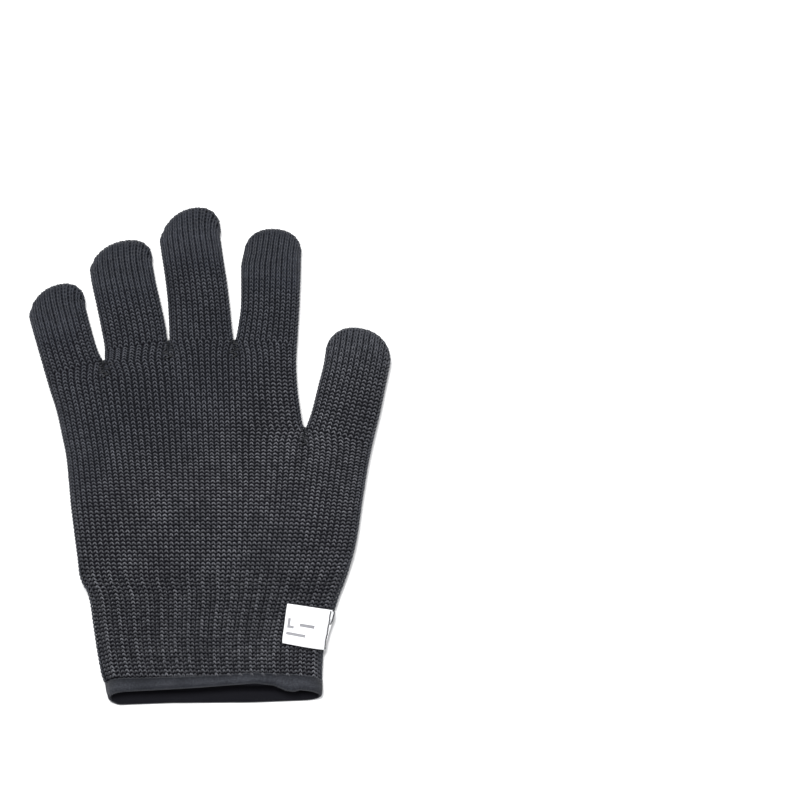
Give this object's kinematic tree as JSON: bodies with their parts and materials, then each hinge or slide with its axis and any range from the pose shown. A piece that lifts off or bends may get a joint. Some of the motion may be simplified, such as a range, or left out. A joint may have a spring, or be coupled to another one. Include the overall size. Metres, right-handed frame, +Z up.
{
  "type": "cut-resistant knitted work glove",
  "caption": "Seamless knitted cut-resistant work glove lying palm up, with five closed finger tubes that curl, a ribbed elastic cuff, an overlocked hem and a sewn size label.",
  "frame": {"origin": "bottom centre of the bounding box, on the surface that the back of the glove lies on", "axes": "+Y from the cuff to the fingertips, +X across the hand to the thumb side, +Z up, out of the palm"},
  "size_m": [0.1754, 0.24, 0.0132],
  "materials": {
    "knit_yarn": "matte knitted composite yarn with a fine steel core",
    "rib_yarn": "matte knitted rib",
    "hem_yarn": "matte overlock thread",
    "elastic_thread": "covered elastic",
    "label_tape": "woven satin tape",
    "label_thread": "sewing thread"
  },
  "bodies": {
    "hand": {"palm_five_finger_knit": "knit_yarn", "palm_four_finger_knit": "knit_yarn", "palm_three_finger_knit": "knit_yarn", "index_finger_base_knit": "knit_yarn", "middle_finger_base_knit": "knit_yarn", "ring_finger_base_knit": "knit_yarn", "little_finger_base_knit": "knit_yarn", "thumb_base_knit": "knit_yarn", "crotch_reinforcing_stitches": "hem_yarn"},
    "cuff": {"cuff_rib_knit": "rib_yarn", "cuff_overlocked_hem": "hem_yarn", "cuff_elastic_threads": "elastic_thread", "size_label": "label_tape", "size_label_stitches": "label_thread"},
    "index_proximal": {"index_finger_proximal_knit": "knit_yarn"},
    "index_middle": {"index_finger_middle_knit": "knit_yarn"},
    "index_tip": {"index_fingertip_knit": "knit_yarn"},
    "middle_proximal": {"middle_finger_proximal_knit": "knit_yarn"},
    "middle_middle": {"middle_finger_middle_knit": "knit_yarn"},
    "middle_tip": {"middle_fingertip_knit": "knit_yarn"},
    "ring_proximal": {"ring_finger_proximal_knit": "knit_yarn"},
    "ring_middle": {"ring_finger_middle_knit": "knit_yarn"},
    "ring_tip": {"ring_fingertip_knit": "knit_yarn"},
    "little_proximal": {"little_finger_proximal_knit": "knit_yarn"},
    "little_middle": {"little_finger_middle_knit": "knit_yarn"},
    "little_tip": {"little_fingertip_knit": "knit_yarn"},
    "thumb_proximal": {"thumb_proximal_knit": "knit_yarn"},
    "thumb_tip": {"thumb_tip_knit": "knit_yarn"}
  },
  "joints": [
    {"name": "wrist_bend", "type": "hinge", "parent": "hand", "child": "cuff", "pos_m": [0.002, -0.0573, 0.012], "axis": [-1, 0, 0], "range_deg": [0, 60]},
    {"name": "index_knuckle_bend", "type": "hinge", "parent": "hand", "child": "index_proximal", "pos_m": [0.02865, 0.064, 0.011], "axis": [1, 0, 0], "range_deg": [0, 85]},
    {"name": "index_middle_joint_bend", "type": "hinge", "parent": "index_proximal", "child": "index_middle", "pos_m": [0.02945, 0.0825, 0.011], "axis": [1, 0, 0], "range_deg": [0, 95]},
    {"name": "index_tip_joint_bend", "type": "hinge", "parent": "index_middle", "child": "index_tip", "pos_m": [0.03016, 0.097, 0.011], "axis": [1, 0, 0], "range_deg": [0, 65]},
    {"name": "middle_knuckle_bend", "type": "hinge", "parent": "hand", "child": "middle_proximal", "pos_m": [-0.0047, 0.064, 0.011], "axis": [1, 0, 0], "range_deg": [0, 85]},
    {"name": "middle_middle_joint_bend", "type": "hinge", "parent": "middle_proximal", "child": "middle_middle", "pos_m": [-0.00687, 0.086, 0.011], "axis": [1, 0, 0], "range_deg": [0, 95]},
    {"name": "middle_tip_joint_bend", "type": "hinge", "parent": "middle_middle", "child": "middle_tip", "pos_m": [-0.00929, 0.103, 0.011], "axis": [1, 0, 0], "range_deg": [0, 65]},
    {"name": "ring_knuckle_bend", "type": "hinge", "parent": "hand", "child": "ring_proximal", "pos_m": [-0.03735, 0.063, 0.011], "axis": [1, 0, 0], "range_deg": [0, 85]},
    {"name": "ring_middle_joint_bend", "type": "hinge", "parent": "ring_proximal", "child": "ring_middle", "pos_m": [-0.04081, 0.079, 0.011], "axis": [1, 0, 0], "range_deg": [0, 95]},
    {"name": "ring_tip_joint_bend", "type": "hinge", "parent": "ring_middle", "child": "ring_tip", "pos_m": [-0.04308, 0.0926, 0.011], "axis": [1, 0, 0], "range_deg": [0, 65]},
    {"name": "little_knuckle_bend", "type": "hinge", "parent": "hand", "child": "little_proximal", "pos_m": [-0.06941, 0.0525, 0.011], "axis": [1, 0, 0], "range_deg": [0, 85]},
    {"name": "little_middle_joint_bend", "type": "hinge", "parent": "little_proximal", "child": "little_middle", "pos_m": [-0.07252, 0.0638, 0.011], "axis": [1, 0, 0], "range_deg": [0, 95]},
    {"name": "little_tip_joint_bend", "type": "hinge", "parent": "little_middle", "child": "little_tip", "pos_m": [-0.07407, 0.0736, 0.011], "axis": [1, 0, 0], "range_deg": [0, 65]},
    {"name": "thumb_knuckle_bend", "type": "hinge", "parent": "hand", "child": "thumb_proximal", "pos_m": [0.06642, 0.02326, 0.012], "axis": [0.9736, -0.2284, 0], "range_deg": [0, 60]},
    {"name": "thumb_tip_joint_bend", "type": "hinge", "parent": "thumb_proximal", "child": "thumb_tip", "pos_m": [0.07076, 0.04176, 0.012], "axis": [0.9736, -0.2284, 0], "range_deg": [0, 80]}
  ]
}
